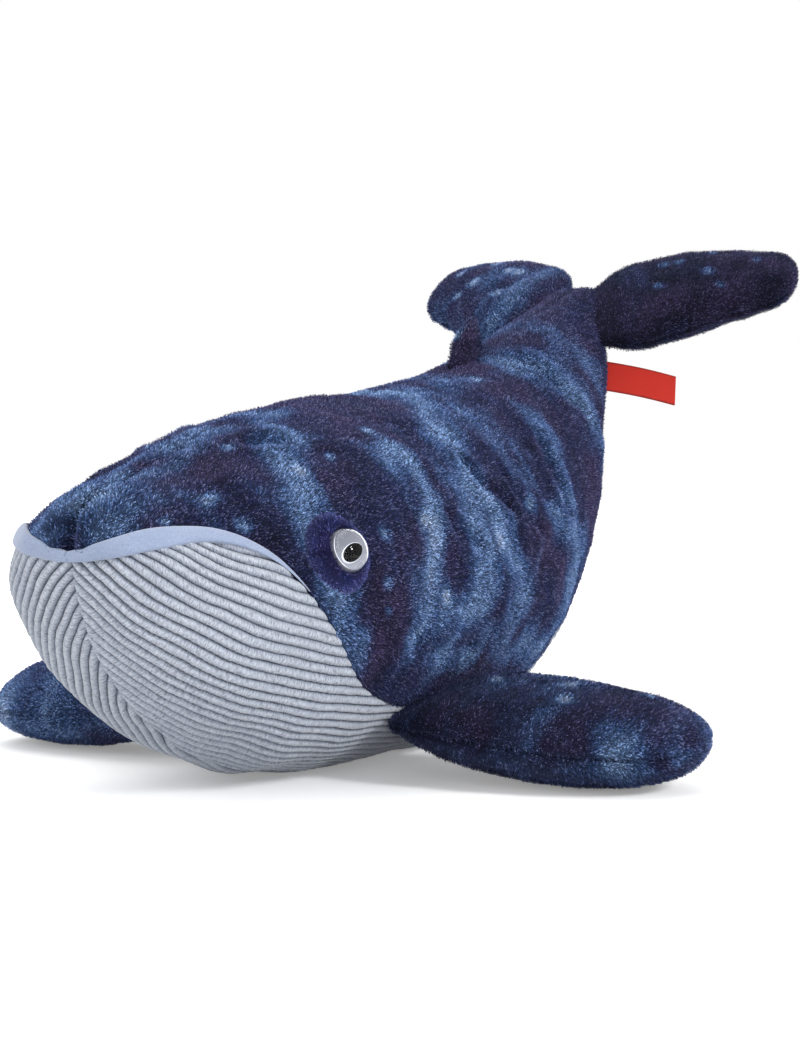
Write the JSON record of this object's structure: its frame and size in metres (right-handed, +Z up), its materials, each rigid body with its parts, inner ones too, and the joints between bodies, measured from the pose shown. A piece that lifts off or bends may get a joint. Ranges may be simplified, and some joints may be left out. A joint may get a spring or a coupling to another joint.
{
  "type": "plush whale",
  "caption": "Stuffed plush whale with a ribbed pale throat, a smooth lip band, domed eyes, plump flippers, raised tail flukes, a small back fin and a bare tail tag.",
  "frame": {"origin": "on the ground, under the middle of the whale's bounding box", "axes": "+Z up; +Y from the nose to the tail; +X towards the whale's left side"},
  "size_m": [0.3638, 0.511, 0.2566],
  "materials": {
    "printed_plush": "short pile, printed in mottled blues",
    "corduroy": "ribbed",
    "velour": "smooth, very short pile",
    "patch_plush": "short pile",
    "fibre": "loose fibre filling",
    "clear_plastic": "clear, polished",
    "silver_paint": "silver paint",
    "black_paint": "black paint",
    "white_plastic": "moulded",
    "ribbon": "woven ribbon, bare"
  },
  "bodies": {
    "whale_body": {"body_stuffing": "fibre", "back_panel_left": "printed_plush", "back_panel_right": "printed_plush", "belly_panel_left": "corduroy", "belly_panel_right": "corduroy", "lip_band": "velour", "eye_patch_left": "patch_plush", "eye_patch_right": "patch_plush", "eye_dome_left": "clear_plastic", "eye_dome_right": "clear_plastic", "eye_iris_left": "silver_paint", "eye_iris_right": "silver_paint", "eye_pupil_left": "black_paint", "eye_pupil_right": "black_paint", "eye_shank_left": "white_plastic", "eye_shank_right": "white_plastic", "eye_washer_left": "white_plastic", "eye_washer_right": "white_plastic"},
    "flipper_left": {"flipper_upper_left": "printed_plush", "flipper_lower_left": "printed_plush", "flipper_stuffing_left": "fibre"},
    "flipper_right": {"flipper_upper_right": "printed_plush", "flipper_lower_right": "printed_plush", "flipper_stuffing_right": "fibre"},
    "fluke_left": {"fluke_upper_left": "printed_plush", "fluke_lower_left": "printed_plush", "fluke_stuffing_left": "fibre"},
    "fluke_right": {"fluke_upper_right": "printed_plush", "fluke_lower_right": "printed_plush", "fluke_stuffing_right": "fibre"},
    "back_fin": {"back_fin_left": "printed_plush", "back_fin_right": "printed_plush"},
    "tail_tag": {"tail_tag": "ribbon"}
  },
  "joints": [
    {"name": "flipper_left_seam", "type": "hinge", "parent": "whale_body", "child": "flipper_left", "pos_m": [0.06376, -0.07843, 0.02865], "axis": [0.0912, 0.9904, 0.1041], "range_deg": [-22, 20], "stiffness_Nm_per_rad": 0.5, "springref_deg": -1.72},
    {"name": "flipper_right_seam", "type": "hinge", "parent": "whale_body", "child": "flipper_right", "pos_m": [-0.06376, -0.07843, 0.02865], "axis": [0.0912, -0.9904, -0.1041], "range_deg": [-22, 20], "stiffness_Nm_per_rad": 0.5, "springref_deg": -1.72},
    {"name": "fluke_left_seam", "type": "hinge", "parent": "whale_body", "child": "fluke_left", "pos_m": [0.02659, 0.19307, 0.21984], "axis": [-0.2469, 0.7423, 0.6229], "range_deg": [-18, 18], "stiffness_Nm_per_rad": 0.3},
    {"name": "fluke_right_seam", "type": "hinge", "parent": "whale_body", "child": "fluke_right", "pos_m": [-0.02659, 0.19307, 0.21984], "axis": [-0.2469, -0.7423, -0.6229], "range_deg": [-18, 18], "stiffness_Nm_per_rad": 0.3},
    {"name": "back_fin_seam", "type": "hinge", "parent": "whale_body", "child": "back_fin", "pos_m": [0, 0.06385, 0.19021], "axis": [0, 0.961, 0.2767], "range_deg": [-20, 20], "stiffness_Nm_per_rad": 0.01},
    {"name": "tail_tag_seam", "type": "hinge", "parent": "whale_body", "child": "tail_tag", "pos_m": [0.02648, 0.17741, 0.18395], "axis": [-0.1533, 0.4553, 0.877], "range_deg": [-45, 45], "stiffness_Nm_per_rad": 0.004}
  ]
}
